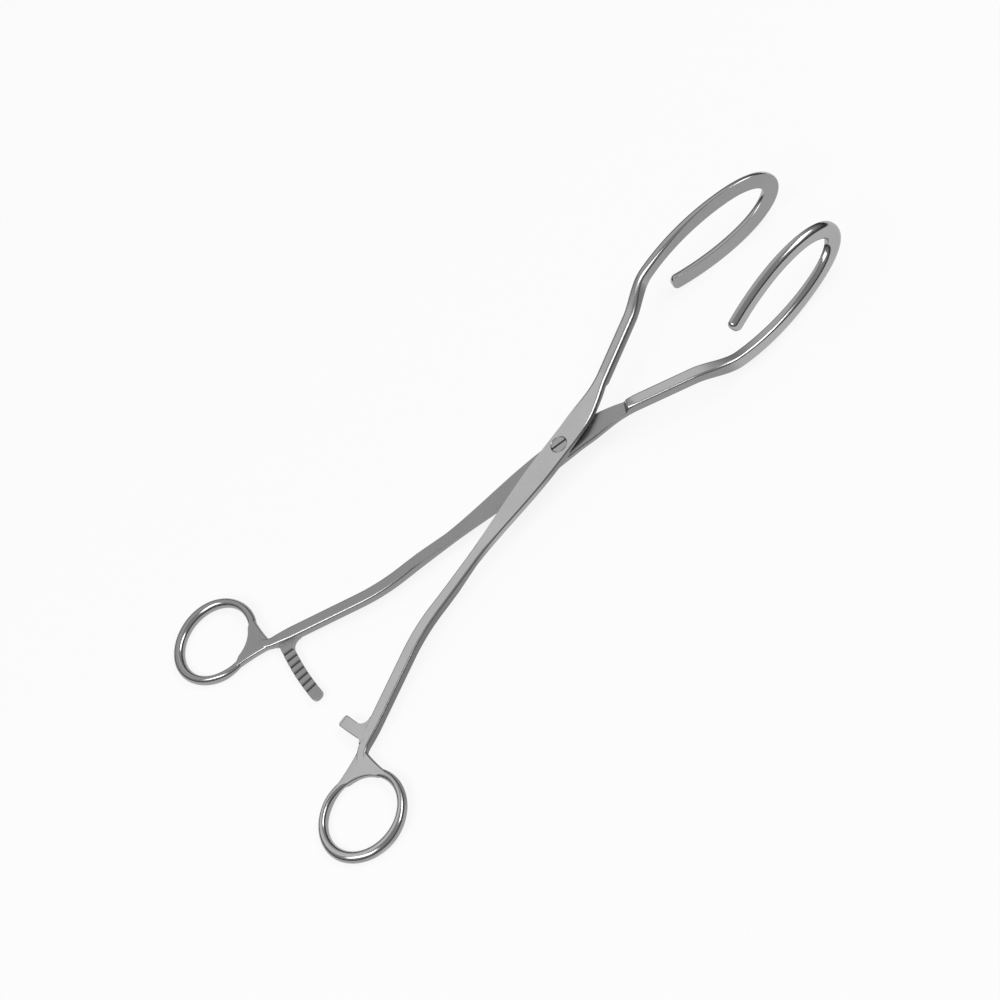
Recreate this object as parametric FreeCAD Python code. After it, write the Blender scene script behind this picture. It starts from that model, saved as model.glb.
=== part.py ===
import FreeCAD, Part
import math
import os
from FreeCAD import Vector

# Uterine elevating forceps: two forged arms that cross in a half-lap joint on a slotted screw.
# Millimetres and degrees. The origin is on the pivot axis, in the lap plane between the arms.
# +X runs to the jaws and +Z along the pivot to the screw's head. The arms lie half open.
# Each arm is drawn as the lower one, ring on the +Y side and jaw on the -Y side. The upper arm
# is the same form turned over about X, so its angles and runs are the same values.

# Course of an arm, from the pivot outwards
handle_run = 69.4
handle_angle = 9.25
forearm_run = 40.7
forearm_angle = 24.7
neck_to_ring = 20.3
ring_angle = 55.0
knee_run = 12.4
jaw_shank_run = 43.6
jaw_shank_angle = 26.6
jaw_toe_in = 5.9
neck_bend_radius = 9.0
elbow_bend_radius = 26.0
knee_bend_radius = 60.0

# Sections of an arm: width in the plane of the instrument, thickness along the pivot
joint_width = 8.4
joint_thickness = 4.2
handle_width = 3.9
handle_thickness = 3.0
forearm_width = 4.1
neck_width = 3.2
neck_thickness = 2.5
jaw_shank_width = 4.2
jaw_shank_thickness = 3.7
joint_flat_reach = 8.0
handle_taper_end = 44.0
jaw_taper_end = 26.0
thickness_taper_start = 30.0
thickness_taper_end = 62.0
neck_swell_run = 9.0
forearm_blend_run = 17.0
handle_edge_radius = 0.75
lower_jaw_edge_radius = 0.9
upper_jaw_edge_radius = 1.5
grind_allowance = 0.15

# Open loop of a jaw
loop_length = 54.1
loop_start_back = 3.8
loop_half_height = 9.25
loop_root_fullness = 0.8
loop_tip_fullness = 0.5
loop_gap_share = 0.26
leg_depth = 2.6
leg_flat = 4.9
tip_depth = 2.8
tip_flat = 5.5
leg_face_edge_radius = 0.45
leg_back_radius = 1.9
free_end_dome = 2.0
root_depth_share = 0.8
root_flat_share = 0.88
root_blend_run = 14.0

# Finger ring and its web
ring_mid_radius = 13.2
ring_band_width = 2.7
ring_band_height = 3.5
ring_band_flats = 16
web_thickness = 2.2
web_overlap = 0.7
web_edge_radius = 0.8
web_bevel_angles = (0, 45, 90)
web_side_sag = 0.5
web_root_share = 0.42
web_sink = 0.2
web_face_angle = 38.0
web_face_margin = 0.25

# Half-lap joint
lap_gap = 0.06
lap_reach_jaw = 22.5
lap_reach_handle = 44.0
lap_ramp_run = 20.0

# Pivot screw, threaded into the lower arm and running in the upper one
screw_head_diameter = 5.2
screw_head_height = 1.1
screw_shoulder_diameter = 3.6
screw_thread_diameter = 3.0
screw_running_clearance = 0.04
screw_seat_clearance = 0.02
screw_slot_width = 0.7
screw_slot_depth = 0.6
screw_slot_angle = -12.0
slot_overrun = 2.0

# Ratchet bars, arcs about the pivot, with teeth on the faces that meet
ratchet_radius = 104.5
ratchet_width = 3.9
ratchet_gap = 0.10
ratchet_pitch = 2.8
ratchet_tooth_depth = 0.6
ratchet_tooth_share = 0.85
ratchet_edge_bevel = 0.3
ratchet_fillet = 2.8
fillet_sink = 0.4
lower_bar_tip_offset = -0.9
lower_bar_plain_tip = 4.4
lower_bar_tooth_count = 7
lower_bar_corner = 1.5
upper_bar_tip_offset = 15.0
upper_bar_plain_tip = 0.7
upper_bar_tooth_count = 3
upper_bar_corner = 0.8

# Where the sections of an arm are drawn: beside a corner of the course, along the tapers and the
# root as shares of their runs, and round the loop
corner_stations = (-6.0, 0.0, 6.0)
handle_stations = (1.15, 0.9, 0.65, 0.4, 0.2)
jaw_stations = (0.3, 0.6, 1.0)
root_stations = (1.0, 0.68, 0.36)
root_share = 0.12
tip_sweep = 0.5
leg_steps = 5
tip_steps = 12
dome_angles = (35, 65)
radius_limit = 0.45
back_limit = 0.7
sweep_step = 0.001
near = 1e-4

up = Vector(0, 0, 1)


def heading(angle):
    """Unit vector in the plane of the instrument, at an angle from +X."""
    return Vector(math.cos(math.radians(angle)), math.sin(math.radians(angle)), 0)


# Corner points of the lower arm's course
elbow = heading(180 - handle_angle) * handle_run
neck = elbow + heading(180 - forearm_angle) * forearm_run
ring_center = neck + heading(180 - ring_angle) * neck_to_ring
ring_start = ring_center + heading(-ring_angle) * ring_mid_radius
knee = heading(-handle_angle) * knee_run
jaw_root = knee + heading(-jaw_shank_angle) * jaw_shank_run
loop_heading = heading(jaw_toe_in)
loop_start = jaw_root - loop_heading * loop_start_back
grip_way = up.cross(loop_heading)
grip_offset = leg_depth / 2


def blend(low, high, share):
    """Value that goes smoothly from low to high as share goes from 0 to 1."""
    share = min(max(share, 0.0), 1.0)
    return low + (high - low) * share * share * (3 - 2 * share)


def blend_evenly(low, high, step, steps):
    """Value after a number of equal steps from low to high."""
    return low + (high - low) * step / steps


def bend(before, corner, after, radius):
    """Arc of the given radius that rounds a corner of the course, with its two tangent points."""
    to_corner = (corner - before).normalize()
    from_corner = (after - corner).normalize()
    half_turn = to_corner.getAngle(from_corner) / 2
    tangent = radius * math.tan(half_turn)
    inward = (from_corner - to_corner).normalize()
    middle = corner + inward * (radius / math.cos(half_turn) - radius)
    start = corner - to_corner * tangent
    end = corner + from_corner * tangent
    return start, Part.Arc(start, middle, end).toShape(), end


def arm_course():
    """Straight runs and bends of the arm's centre line, from the ring's band to the jaw root."""
    neck_in, neck_arc, neck_out = bend(ring_start, neck, elbow, neck_bend_radius)
    elbow_in, elbow_arc, elbow_out = bend(neck, elbow, Vector(), elbow_bend_radius)
    knee_in, knee_arc, knee_out = bend(Vector(), knee, jaw_root, knee_bend_radius)
    runs = [Part.LineSegment(ring_start, neck_in).toShape(), neck_arc]
    runs += [Part.LineSegment(neck_out, elbow_in).toShape(), elbow_arc]
    runs += [Part.LineSegment(elbow_out, knee_in).toShape(), knee_arc]
    runs += [Part.LineSegment(knee_out, jaw_root).toShape()]
    return runs


def point_on(runs, distance):
    """Point of a course at a distance along it, and the course's heading there."""
    for run in runs:
        if distance <= run.Length or run is runs[-1]:
            place = run.getParameterByLength(min(max(distance, 0.0), run.Length))
            return run.valueAt(place), run.tangentAt(place)
        distance -= run.Length


def loop_point(sweep):
    """Point of the jaw loop's centre line. Sweep runs from 1 at the root, through 0 at the tip,
    to -1 at the free end: the loop's half height grows as a power of the distance from the root
    and closes as a power of the distance from the tip."""
    share = 1 - sweep * sweep
    fullest = loop_root_fullness / (loop_root_fullness + loop_tip_fullness)
    root_part = (share / fullest) ** loop_root_fullness
    tip_part = (abs(sweep) / math.sqrt(1 - fullest)) ** (2 * loop_tip_fullness)
    height = loop_half_height * root_part * math.copysign(tip_part, sweep)
    return loop_start + loop_heading * (loop_length * share) - up * height


def leg_center(sweep, depth):
    """Middle of a leg's section, which ends at the grip plane and the grinding allowance."""
    return loop_point(sweep) + grip_way * (grip_offset + grind_allowance - depth / 2)


def section(center, tangent, flat_heading, across, deep, face_radius, back_radius):
    """Rounded rectangle square to the arm: across is measured sideways to the flat heading,
    deep along the other way, and the two edges of the grip side have the face radius."""
    face_radius = min(face_radius, radius_limit * across, radius_limit * deep)
    back_radius = min(back_radius, back_limit * across, radius_limit * deep)
    side = up.cross(flat_heading)
    inward = tangent.cross(side).normalize()
    side = inward.cross(tangent).normalize()
    corners = []
    for s, d, radius in ((1, 1, face_radius), (-1, 1, back_radius),
                         (-1, -1, back_radius), (1, -1, face_radius)):
        middle = center + side * (s * (across / 2 - radius)) + inward * (d * (deep / 2 - radius))
        from_side = middle + side * (s * radius)
        from_end = middle + inward * (d * radius)
        halfway = middle + (side * s + inward * d).normalize() * radius
        if s == d:
            corners.append((from_side, halfway, from_end))
        else:
            corners.append((from_end, halfway, from_side))
    edges = []
    for index, (first, halfway, last) in enumerate(corners):
        edges.append(Part.Arc(first, halfway, last).toShape())
        edges.append(Part.LineSegment(last, corners[(index + 1) % 4][0]).toShape())
    return Part.Wire(edges)


def shank_stations(jaw_edge_radius):
    """Sections of an arm's bar, from the ring's band to the root of the jaw loop. Each is its
    center, tangent, width, thickness and the radii of its grip side's and back's edges."""
    runs = arm_course()
    forged_joint = joint_thickness + 2 * grind_allowance
    total = sum(run.Length for run in runs)
    to_neck = runs[0].Length + runs[1].Length / 2
    to_elbow = sum(run.Length for run in runs[:3]) + runs[3].Length / 2
    to_pivot = sum(run.Length for run in runs[:4]) + runs[4].firstVertex().Point.Length
    places = [0.0, to_neck / 2]
    places += [to_neck + step for step in corner_stations if step >= 0]
    places += [(to_neck + to_elbow) / 2]
    places += [to_elbow + step for step in corner_stations]
    places += [to_pivot - share * handle_taper_end for share in handle_stations]
    places += [to_pivot + share * jaw_taper_end for share in jaw_stations]
    places += [total - share * root_blend_run for share in root_stations]

    stations = []
    for place in places:
        center, tangent = point_on(runs, place)
        out = place - to_pivot
        if out < 0:
            swell = (out + handle_taper_end) / (handle_taper_end - joint_flat_reach)
            straight = blend(forearm_width, handle_width, (place - to_elbow) / forearm_blend_run)
            width = blend(straight, joint_width, swell)
            thin = (out + thickness_taper_end) / (thickness_taper_end - thickness_taper_start)
            thickness = blend(handle_thickness, forged_joint, thin)
            past_neck = (place - to_neck) / neck_swell_run
            width = blend(neck_width, width, past_neck)
            thickness = blend(neck_thickness, thickness, past_neck)
            if place < to_neck:
                thickness = blend(web_thickness - web_sink, neck_thickness, place / to_neck)
            radius = handle_edge_radius
        else:
            shrink = (out - joint_flat_reach) / (jaw_taper_end - joint_flat_reach)
            width = blend(joint_width, jaw_shank_width, shrink)
            thickness = blend(forged_joint, jaw_shank_thickness, shrink)
            radius = blend(handle_edge_radius, jaw_edge_radius, out / jaw_taper_end)
        stations.append((center, tangent, width, thickness, radius, radius))
    return stations


def loop_stations(jaw_edge_radius):
    """Sections of a jaw loop, from its root round the tip to the domed free end, in the same
    terms as the bar's: across is the leg's depth, and the other way its flat grip face."""
    root_sweep = math.sqrt(1 - root_share)
    free_sweep = -math.sqrt(1 - loop_gap_share)
    sweeps = [blend_evenly(root_sweep, tip_sweep, step, leg_steps) for step in range(leg_steps)]
    sweeps += [blend_evenly(tip_sweep, -tip_sweep, step, tip_steps) for step in range(tip_steps)]
    sweeps += [blend_evenly(-tip_sweep, free_sweep, step, leg_steps) for step in range(leg_steps + 1)]

    stations = []
    for sweep in sweeps:
        ahead, behind = loop_point(sweep - sweep_step), loop_point(sweep + sweep_step)
        tangent = (ahead - behind).normalize()
        settle = (root_sweep - sweep) / (root_sweep - tip_sweep)
        near_tip = 1 - abs(sweep) / tip_sweep
        depth = blend(jaw_shank_width * root_depth_share, leg_depth, settle)
        depth = blend(depth, tip_depth, near_tip) if sweep > 0 else tip_depth
        depth += grind_allowance
        flat = blend(leg_flat * root_flat_share, leg_flat, settle)
        flat = blend(flat, tip_flat, near_tip)
        face_radius = blend(jaw_edge_radius, leg_face_edge_radius, settle)
        back_radius = blend(jaw_edge_radius, leg_back_radius, settle)
        center = leg_center(sweep, depth)
        stations.append((center, tangent, depth, flat, face_radius, back_radius))

    for angle in dome_angles:
        size = math.cos(math.radians(angle))
        middle = center + tangent * (free_end_dome * math.sin(math.radians(angle)))
        stations.append((middle, tangent, depth * size, flat * size,
                         face_radius * size, back_radius * size))
    return stations


def arm_body(jaw_edge_radius):
    """The forged bar of an arm, drawn through its sections from the ring to the free end."""
    wires = [section(*station[:2], station[1], *station[2:])
             for station in shank_stations(jaw_edge_radius)]
    wires += [section(*station[:2], loop_heading, *station[2:])
              for station in loop_stations(jaw_edge_radius)]
    return Part.makeLoft(wires, True, True)


def ground_away():
    """What grinding takes off the forging: the joint's outer face and the loop's grip face."""
    joint_face = Part.makeCylinder(lap_reach_handle, joint_thickness,
                                   up * (-joint_thickness * 1.5))
    start = loop_length * root_share
    height = 2 * (loop_half_height + leg_flat)
    grip_face = Part.makeBox(loop_length, leg_flat, height,
                             Vector(start, grip_offset, -height / 2))
    grip_face.rotate(Vector(), up, jaw_toe_in)
    grip_face.translate(loop_start)
    return [joint_face, grip_face]


def finger_ring():
    """Ring turned about its own axis. The oval of its band is drawn in even flats."""
    outward = heading(-ring_angle)
    oval = []
    for index in range(ring_band_flats + 1):
        angle = 2 * math.pi * index / ring_band_flats
        beside = outward * (ring_mid_radius + ring_band_width / 2 * math.cos(angle))
        oval.append(ring_center + beside + up * (ring_band_height / 2 * math.sin(angle)))
    return Part.Face(Part.makePolygon(oval)).revolve(ring_center, up, 360)


def web_flank(side, radius, angle, root_offset, sag):
    """Points of one flank of the web, from the neck to a radius and angle about the ring."""
    toward = (neck - ring_center).normalize()
    outward = up.cross(toward) * side
    angle = math.radians(angle)
    root = neck + outward * root_offset
    touch = ring_center + toward * (radius * math.cos(angle)) + outward * (radius * math.sin(angle))
    return root, (touch + root) / 2 - outward * sag, touch


def web_outline(inset, height):
    """Outline of the web at a height: flanks drawn in a little, and moved in by inset."""
    outer = ring_mid_radius + web_overlap
    reach = math.degrees(math.acos(outer / neck_to_ring))
    sideways = up.cross(heading(-ring_angle))
    flanks = []
    for side in (1, -1):
        flank = web_flank(side, outer, reach, neck_width * web_root_share, web_side_sag)
        flanks.append([spot - sideways * (side * inset) + up * height for spot in flank])
    left, right = flanks
    band_side = ring_center + heading(-ring_angle) * ring_mid_radius + up * height
    return Part.Wire([Part.Arc(*left).toShape(),
                      Part.Arc(left[2], band_side, right[2]).toShape(),
                      Part.Arc(right[2], right[1], right[0]).toShape(),
                      Part.LineSegment(right[0], left[0]).toShape()])


def ring_web():
    """Web that spreads from the neck to the ring. Its edges are rounded off in two bevels."""
    levels = []
    for side, angles in ((-1, web_bevel_angles), (1, reversed(web_bevel_angles))):
        for angle in angles:
            inset = web_edge_radius * (1 - math.sin(math.radians(angle)))
            drop = web_edge_radius * (1 - math.cos(math.radians(angle)))
            levels.append(web_outline(inset, side * (web_thickness / 2 - drop)))
    return Part.makeLoft(levels, True, True)


def web_faces():
    """Space over the web's two flat faces, which run through the ring's band to its hole. Each is
    bounded by a line along either flank, from the neck to a cusp at the hole's edge."""
    hole_radius = ring_mid_radius - ring_band_width / 2 - web_face_margin
    root_offset = neck_width * web_root_share - web_edge_radius
    left, right = [web_flank(side, hole_radius, web_face_angle, root_offset, 0)
                   for side in (1, -1)]
    outline = Part.makePolygon([left[0], left[2], right[2], right[0], left[0]])
    spaces = []
    for side in (1, -1):
        space = Part.Face(outline).extrude(up * (side * ring_band_height))
        space.translate(up * (side * web_thickness / 2))
        spaces.append(space)
    return spaces


def on_ratchet(radius, offset):
    """Plan point at a radius from the pivot, and an arc length from the instrument's axis."""
    turn = math.degrees(offset / ratchet_radius)
    return heading(180 - turn) * radius


def bar_root_offset(radius, width):
    """Arc length from the axis at which a circle about the pivot meets the forearm's inner edge."""
    along = heading(180 - forearm_angle)
    inner = up.cross(along) * (width / 2)
    start = elbow + inner
    middle = start.dot(along)
    reach = -middle + math.sqrt(middle * middle - start.dot(start) + radius * radius)
    spot = start + along * reach
    return math.atan2(spot.y, -spot.x) * ratchet_radius, spot


def gusset(corner, first, second, radius, low, high):
    """Fillet of a radius in the corner between two edges that leave along first and second."""
    half = first.getAngle(second) / 2
    inward = (first + second).normalize()
    tangent = radius / math.tan(half)
    start = corner + first * tangent
    end = corner + second * tangent
    middle = corner + inward * (radius / math.sin(half) - radius)
    sunk = corner - inward * fillet_sink
    outline = Part.Wire([Part.Arc(start, middle, end).toShape(),
                         Part.LineSegment(end, sunk).toShape(),
                         Part.LineSegment(sunk, start).toShape()])
    solid = Part.Face(outline).extrude(up * (high - low))
    solid.translate(up * low)
    return solid


def ratchet_bar(tip_offset, plain_tip, tooth_count, corner_radius):
    """Toothed bar about the pivot, with its root fillets, drawn on the lower side of an arm."""
    inner = ratchet_radius - ratchet_width / 2
    outer = ratchet_radius + ratchet_width / 2
    low = -handle_thickness / 2
    high = -ratchet_gap / 2
    root_offset = bar_root_offset(ratchet_radius, 0)[0]
    middle_offset = (tip_offset + root_offset) / 2
    outline = Part.Wire([
        Part.Arc(on_ratchet(inner, tip_offset), on_ratchet(inner, middle_offset),
                 on_ratchet(inner, root_offset)).toShape(),
        Part.LineSegment(on_ratchet(inner, root_offset), on_ratchet(outer, root_offset)).toShape(),
        Part.Arc(on_ratchet(outer, root_offset), on_ratchet(outer, middle_offset),
                 on_ratchet(outer, tip_offset)).toShape(),
        Part.LineSegment(on_ratchet(outer, tip_offset), on_ratchet(inner, tip_offset)).toShape()])
    bar = Part.Face(outline).extrude(up * (high - low))
    bar.translate(up * low)
    tip_spots = [Part.Vertex(on_ratchet(radius, tip_offset) + up * (low + high) / 2)
                 for radius in (inner, outer)]
    tip_edges = [edge for edge in bar.Edges
                 if min(edge.distToShape(spot)[0] for spot in tip_spots) < near]
    bar = bar.makeFillet(corner_radius, tip_edges)
    under_edges = [edge for edge in bar.Edges if edge.BoundBox.ZMax < low + near]
    bar = bar.makeChamfer(ratchet_edge_bevel, under_edges)

    for index in range(tooth_count):
        offset = tip_offset + plain_tip + index * ratchet_pitch
        reach = ratchet_width
        wall = Vector(-(ratchet_radius - reach), 0, 0)
        rise = Vector(0, ratchet_pitch * ratchet_tooth_share, 0)
        lift = up * (high + ratchet_gap)
        notch = Part.makePolygon([wall + lift, wall + up * (high - ratchet_tooth_depth),
                                  wall + up * high + rise, wall + lift + rise, wall + lift])
        cutter = Part.Face(notch).extrude(Vector(-2 * reach, 0, 0))
        cutter.rotate(Vector(), up, -math.degrees(offset / ratchet_radius))
        bar = bar.cut(cutter)

    tip_way = up.cross(heading(180 - math.degrees(root_offset / ratchet_radius)))
    shank_out = heading(180 - forearm_angle)
    for radius, along in ((inner, shank_out * -1), (outer, shank_out)):
        corner = bar_root_offset(radius, forearm_width - fillet_sink)[1]
        bar = bar.fuse(gusset(corner, tip_way, along, ratchet_fillet, low, high))
    return bar


def lap_cutter():
    """Space of the other arm: a round pocket to the jaw side and a long ramp to the handle."""
    floor = -lap_gap / 2
    head_room = joint_thickness
    pocket = Part.makeCylinder(lap_reach_jaw, head_room, Vector(0, 0, floor))
    ramp_end = lap_reach_handle + lap_ramp_run
    profile = Part.makePolygon([Vector(0, 0, floor), Vector(-lap_reach_handle, 0, floor),
                                Vector(-ramp_end, 0, joint_thickness / 2),
                                Vector(-ramp_end, 0, head_room), Vector(0, 0, head_room),
                                Vector(0, 0, floor)])
    ramp = Part.Face(profile).extrude(Vector(0, 2 * joint_width, 0))
    ramp.translate(Vector(0, -joint_width, 0))
    ramp.rotate(Vector(), up, -handle_angle)
    return pocket.fuse(ramp)


def arm(jaw_edge_radius, tip_offset, plain_tip, tooth_count, corner_radius):
    """One arm in the lower arm's place: bar, ring, web and ratchet, ground and with its lap cut."""
    bar = ratchet_bar(tip_offset, plain_tip, tooth_count, corner_radius)
    ring = finger_ring().cut(web_faces())
    forging = arm_body(jaw_edge_radius).fuse([ring, ring_web(), bar])
    return forging.cut([lap_cutter()] + ground_away()).removeSplitter()


def lower_arm():
    """Arm with the threaded hole."""
    blank = arm(lower_jaw_edge_radius, lower_bar_tip_offset, lower_bar_plain_tip,
                lower_bar_tooth_count, lower_bar_corner)
    hole_radius = screw_thread_diameter / 2 + screw_seat_clearance
    hole = Part.makeCylinder(hole_radius, joint_thickness, Vector(0, 0, -joint_thickness))
    return blank.cut(hole)


def upper_arm():
    """Arm turned over onto the lower one, with the screw's running hole and head recess."""
    blank = arm(upper_jaw_edge_radius, upper_bar_tip_offset, upper_bar_plain_tip,
                upper_bar_tooth_count, upper_bar_corner)
    blank.rotate(Vector(), Vector(1, 0, 0), 180)
    shoulder_radius = screw_shoulder_diameter / 2 + screw_running_clearance
    head_radius = screw_head_diameter / 2 + screw_running_clearance
    seat = joint_thickness / 2 - screw_head_height - screw_running_clearance
    shaft_hole = Part.makeCylinder(shoulder_radius, joint_thickness)
    head_hole = Part.makeCylinder(head_radius, joint_thickness, Vector(0, 0, seat))
    return blank.cut(shaft_hole.fuse(head_hole))


def pivot_screw():
    """Slotted screw: head flush in the upper arm, plain shoulder, and end in the lower arm."""
    top = joint_thickness / 2
    under_head = top - screw_head_height
    thread_top = -lap_gap / 2
    head = Part.makeCylinder(screw_head_diameter / 2, screw_head_height, Vector(0, 0, under_head))
    shoulder = Part.makeCylinder(screw_shoulder_diameter / 2, under_head - thread_top,
                                 Vector(0, 0, thread_top))
    thread = Part.makeCylinder(screw_thread_diameter / 2, thread_top + top, Vector(0, 0, -top))
    slot_length = screw_head_diameter + slot_overrun
    slot = Part.makeBox(slot_length, screw_slot_width, screw_slot_depth,
                        Vector(-slot_length / 2, -screw_slot_width / 2, top - screw_slot_depth))
    slot.rotate(Vector(), up, screw_slot_angle)
    return head.fuse([shoulder, thread]).removeSplitter().cut(slot)


os.makedirs("parts", exist_ok=True)
nodes = {"lower_arm": lower_arm(), "upper_arm": upper_arm(), "pivot_screw": pivot_screw()}
for name, shape in nodes.items():
    shape.exportStep("parts/" + name + ".step")
    print(name, len(shape.Solids), round(shape.Volume, 1), shape.isValid(), shape.BoundBox)
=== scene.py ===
import math

import bmesh
import bpy
import numpy as np
from mathutils import Matrix, Vector


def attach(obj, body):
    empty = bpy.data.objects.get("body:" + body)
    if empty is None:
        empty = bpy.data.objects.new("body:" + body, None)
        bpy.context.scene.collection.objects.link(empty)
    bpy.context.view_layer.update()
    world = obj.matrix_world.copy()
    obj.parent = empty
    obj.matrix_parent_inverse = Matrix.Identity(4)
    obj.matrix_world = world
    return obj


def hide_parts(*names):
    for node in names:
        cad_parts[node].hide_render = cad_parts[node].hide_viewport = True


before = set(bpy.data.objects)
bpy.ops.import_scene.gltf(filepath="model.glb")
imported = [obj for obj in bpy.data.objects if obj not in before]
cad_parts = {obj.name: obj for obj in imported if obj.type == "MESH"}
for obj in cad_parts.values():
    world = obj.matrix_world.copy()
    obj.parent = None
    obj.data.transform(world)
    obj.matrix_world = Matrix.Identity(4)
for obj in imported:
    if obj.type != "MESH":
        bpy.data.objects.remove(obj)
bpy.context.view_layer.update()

# Forged bars and jaw loops
# Each arm is one forging in stainless steel. Its bar runs from the neck of the finger ring,
# through the half-lap joint, to an upright open loop. The outer face of the joint and the
# loop's grip face are ground flat. Both arms are drawn in the lower one's place, in millimetres.
millimetre = 0.001
handle_run = 69.4
handle_angle = 9.25
forearm_run = 40.7
forearm_angle = 24.7
neck_to_ring = 20.3
ring_angle = 55.0
knee_run = 12.4
jaw_shank_run = 43.6
jaw_shank_angle = 26.6
jaw_toe_in = 5.9
neck_bend_radius = 9.0
elbow_bend_radius = 60.0
knee_bend_radius = 60.0
ring_mid_radius = 13.2

joint_width = 8.4
joint_thickness = 4.2
grind_allowance = 0.15
handle_width = 3.9
handle_thickness = 3.0
forearm_width = 4.1
neck_width = 3.2
neck_thickness = 2.5
web_thickness = 2.2
jaw_shank_width = 4.2
jaw_shank_thickness = 3.7
joint_flat_reach = 8.0
ring_end_sink = 0.2
handle_taper_end = 44.0
jaw_taper_end = 26.0
thickness_taper_start = 30.0
thickness_taper_end = 62.0
neck_swell_run = 9.0
forearm_blend_run = 17.0
handle_edge_radius = 0.75
root_blend_run = 10.0

lap_gap = 0.06
lap_edge_radius = 0.12
lap_reach_jaw = 22.5
lap_shoulder_run = 2.0
shoulder_margin = 0.15
shoulder_lobe_share = 0.4
shoulder_lobe_runs = 2.5
lap_reach_handle = 44.0
lap_ramp_run = 20.0

loop_length = 54.1
loop_start_back = 3.8
loop_half_height = 9.25
loop_root_fullness = 0.8
loop_tip_fullness = 0.5
loop_root_share = 0.15
loop_gap_share = 0.26
leg_depth = 2.6
leg_flat = 4.9
tip_depth = 2.8
tip_flat = 5.5
tip_sweep = 0.5
leg_face_edge_radius = 0.45
leg_back_radius = 2.1
free_end_dome = 2.0
dome_thin_share = 0.45
dome_back_share = 0.95
dome_last_angle = 84.0
root_depth_share = 0.8
root_flat_share = 0.88

bar_stations = 190
shoulder_stations = 20
root_stations = 26
loop_stations = 170
sweep_step = 0.001
dome_stations = 12
corner_points = 8
flat_shares = np.array([0.04, 0.35, 0.65, 0.96])
up = np.array([0.0, 0.0, 1.0])


def heading(angle):
    """Unit vectors in the plane of the instrument, at angles in degrees from +X."""
    turn = np.radians(angle)
    return np.stack([np.cos(turn), np.sin(turn), np.zeros_like(turn)], axis=-1)


def unit(vectors):
    """Vectors divided by their lengths."""
    return vectors / np.linalg.norm(vectors, axis=-1, keepdims=True)


def smooth(low, high, share):
    """Goes from low to high as the share s goes from 0 to 1, level at both ends: s s (3 - 2 s)."""
    share = np.clip(share, 0.0, 1.0)
    return low + (high - low) * share * share * (3 - 2 * share)


elbow = heading(180 - handle_angle) * handle_run
neck = elbow + heading(180 - forearm_angle) * forearm_run
ring_center = neck + heading(180 - ring_angle) * neck_to_ring
ring_start = ring_center + heading(-ring_angle) * ring_mid_radius
pivot = np.zeros(3)
knee = heading(-handle_angle) * knee_run
jaw_root = knee + heading(-jaw_shank_angle) * jaw_shank_run
loop_heading = heading(jaw_toe_in)
loop_start = jaw_root - loop_heading * loop_start_back
grip_way = np.cross(up, loop_heading)
arm_corners = np.array([ring_start, neck, elbow, pivot, knee, jaw_root])
bend_radii = np.array([neck_bend_radius, elbow_bend_radius, knee_bend_radius, knee_bend_radius])


def bends(corners, radii):
    """Of a path whose corners are rounded by arcs that touch its runs: the runs' headings, the
    corners' turns t, the cuts r tan(t / 2) that an arc takes from both runs, and the lengths
    r t of the arcs."""
    ways = unit(np.diff(corners, axis=0))
    turns = np.arcsin(np.cross(ways[:-1], ways[1:])[:, 2])
    return ways, turns, radii * np.tan(np.abs(turns) / 2), radii * np.abs(turns)


def marks(corners, radii):
    """Distances along the rounded path at which it passes each corner: the runs added up, less
    what the arcs so far save of their two cuts."""
    cuts, arcs = bends(corners, radii)[2:]
    runs = np.linalg.norm(np.diff(corners, axis=0), axis=1)
    saved = np.concatenate([[0.0], 2 * cuts - arcs, [0.0]])
    return np.concatenate([[0.0], np.cumsum(runs)]) - np.cumsum(saved) + saved / 2


def course(corners, radii, distances):
    """Points and headings at distances along the rounded path: straight on a run, and turned by
    distance / radius about an arc's centre on an arc."""
    ways, turns, cuts, arcs = bends(corners, radii)
    start = 0.0
    here = corners[0]
    points = np.zeros((len(distances), 3))
    headings = np.zeros((len(distances), 3))
    for index, way in enumerate(ways):
        past = (distances - start)[:, None]
        points = np.where(past >= 0, here + way * past, points)
        headings = np.where(past >= 0, way, headings)
        if index == len(turns):
            break
        corner = corners[index + 1]
        start += np.linalg.norm(corner - here) - cuts[index]
        here = corner - way * cuts[index]
        inner = np.cross(up, way) * np.sign(turns[index])
        past = (distances - start)[:, None]
        angle = past / radii[index]
        bent = here + radii[index] * (way * np.sin(angle) + inner * (1 - np.cos(angle)))
        points = np.where(past >= 0, bent, points)
        headings = np.where(past >= 0, way * np.cos(angle) + inner * np.sin(angle), headings)
        start += arcs[index]
        here = corner + ways[index + 1] * cuts[index]
    return points, headings


def loop_points(sweep):
    """Centre line of the jaw loop. Sweep goes from 1 at the root, through 0 at the tip, to -1 at
    the free end. With the share x = 1 - sweep^2 of the length, the height is the half height
    times (x / fullest)^root fullness times (|sweep| / sqrt(1 - fullest))^(2 tip fullness)."""
    share = 1 - sweep * sweep
    fullest = loop_root_fullness / (loop_root_fullness + loop_tip_fullness)
    root_part = (share / fullest) ** loop_root_fullness
    tip_part = (np.abs(sweep) / math.sqrt(1 - fullest)) ** (2 * loop_tip_fullness)
    height = loop_half_height * root_part * tip_part * np.sign(sweep)
    return loop_start + loop_heading * (loop_length * share)[:, None] - up * height[:, None]


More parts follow.
